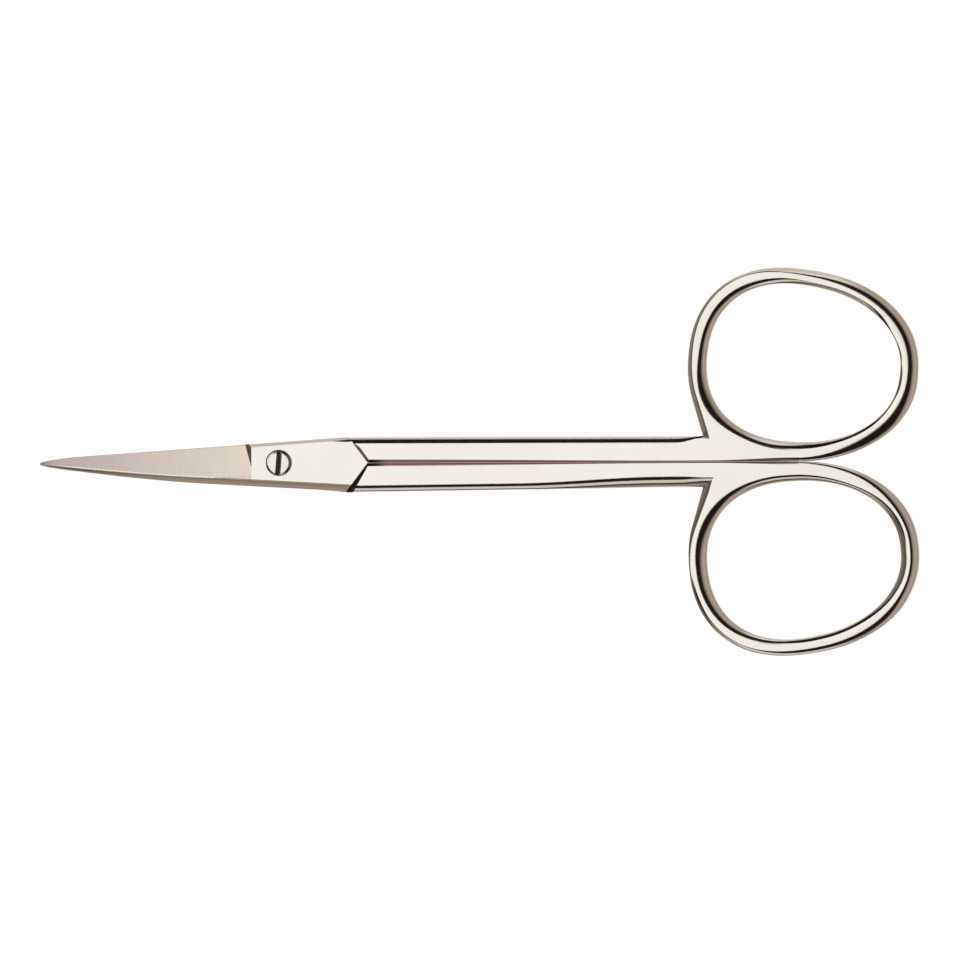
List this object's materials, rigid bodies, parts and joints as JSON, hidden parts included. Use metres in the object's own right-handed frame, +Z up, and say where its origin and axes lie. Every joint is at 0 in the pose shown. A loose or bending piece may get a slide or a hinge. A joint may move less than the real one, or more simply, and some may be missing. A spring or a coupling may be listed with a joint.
{
  "type": "cuticle scissors",
  "caption": "Small polished steel cuticle scissors: slim pointed blades ground to a fine edge, long straight shanks and oval finger bows, turning on a flush slotted pivot screw.",
  "frame": {"origin": "on the surface the closed scissors lie on, under the middle of their length and width", "axes": "+X from the blade tips to the finger bows along the closing line, +Y towards the bow of the upper half, +Z up along the pivot screw, out of its slotted head"},
  "size_m": [0.09, 0.0398, 0.003],
  "materials": {
    "polished_nickel": "nickel-plated steel, mirror polished, with satin-ground blade faces",
    "screw_nickel": "nickel-plated steel screw, polished head"
  },
  "bodies": {
    "lower_side": {"lower_half": "polished_nickel", "pivot_screw": "screw_nickel"},
    "upper_side": {"upper_half": "polished_nickel"}
  },
  "joints": [
    {"name": "blade_pivot", "type": "hinge", "parent": "lower_side", "child": "upper_side", "pos_m": [-0.02055, 0, 0.0015], "axis": [0, 0, 1], "range_deg": [0, 140]}
  ]
}
